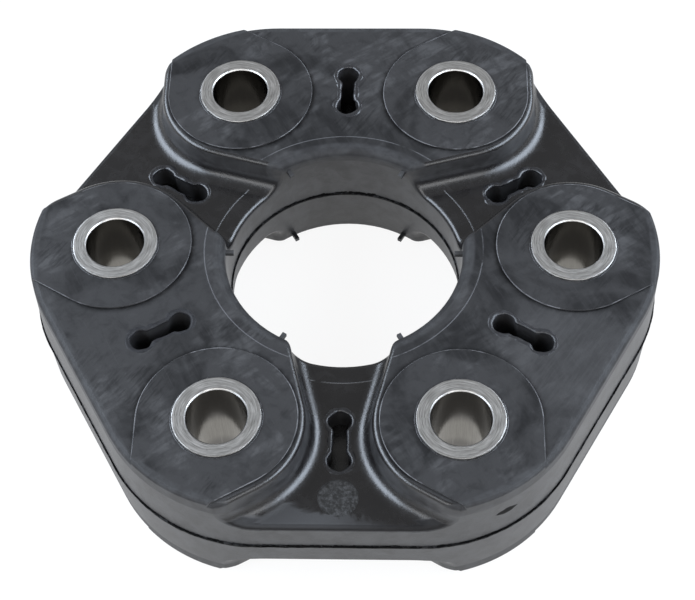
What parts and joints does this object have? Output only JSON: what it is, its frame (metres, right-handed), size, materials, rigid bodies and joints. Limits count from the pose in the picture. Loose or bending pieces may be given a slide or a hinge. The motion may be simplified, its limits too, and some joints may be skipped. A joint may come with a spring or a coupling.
{
  "type": "disc joint",
  "caption": "Flexible disc joint for a propeller shaft: steel bushes on one bolt circle, tied by cord loops and moulded into a hexagonal rubber disc with an open centre.",
  "frame": {"origin": "centre of the disc: on the shaft axis, half way along the bushes, in the parting plane", "axes": "+Z along the shaft axis, out of the face with the round insert mark; +X from the centre through the middle of bush_1"},
  "size_m": [0.1332, 0.1244, 0.031],
  "materials": {
    "moulded_rubber": "matte moulded rubber, glossier in the recesses",
    "bush_steel": "turned, with fine rings on the end faces",
    "collar_steel": "plain pressed sheet, under the rubber",
    "loop_cord": "wound cord, under the rubber"
  },
  "bodies": {
    "root": {"rubber_body": "moulded_rubber", "bush_1": "bush_steel", "collar_top_1": "collar_steel", "collar_bottom_1": "collar_steel", "bush_2": "bush_steel", "collar_top_2": "collar_steel", "collar_bottom_2": "collar_steel", "bush_3": "bush_steel", "collar_top_3": "collar_steel", "collar_bottom_3": "collar_steel", "bush_4": "bush_steel", "collar_top_4": "collar_steel", "collar_bottom_4": "collar_steel", "bush_5": "bush_steel", "collar_top_5": "collar_steel", "collar_bottom_5": "collar_steel", "bush_6": "bush_steel", "collar_top_6": "collar_steel", "collar_bottom_6": "collar_steel", "cord_loop_upper_1": "loop_cord", "cord_loop_lower_1": "loop_cord", "cord_loop_middle_1": "loop_cord", "cord_loop_upper_2": "loop_cord", "cord_loop_lower_2": "loop_cord", "cord_loop_middle_2": "loop_cord", "cord_loop_upper_3": "loop_cord", "cord_loop_lower_3": "loop_cord", "cord_loop_middle_3": "loop_cord"}
  },
  "joints": []
}
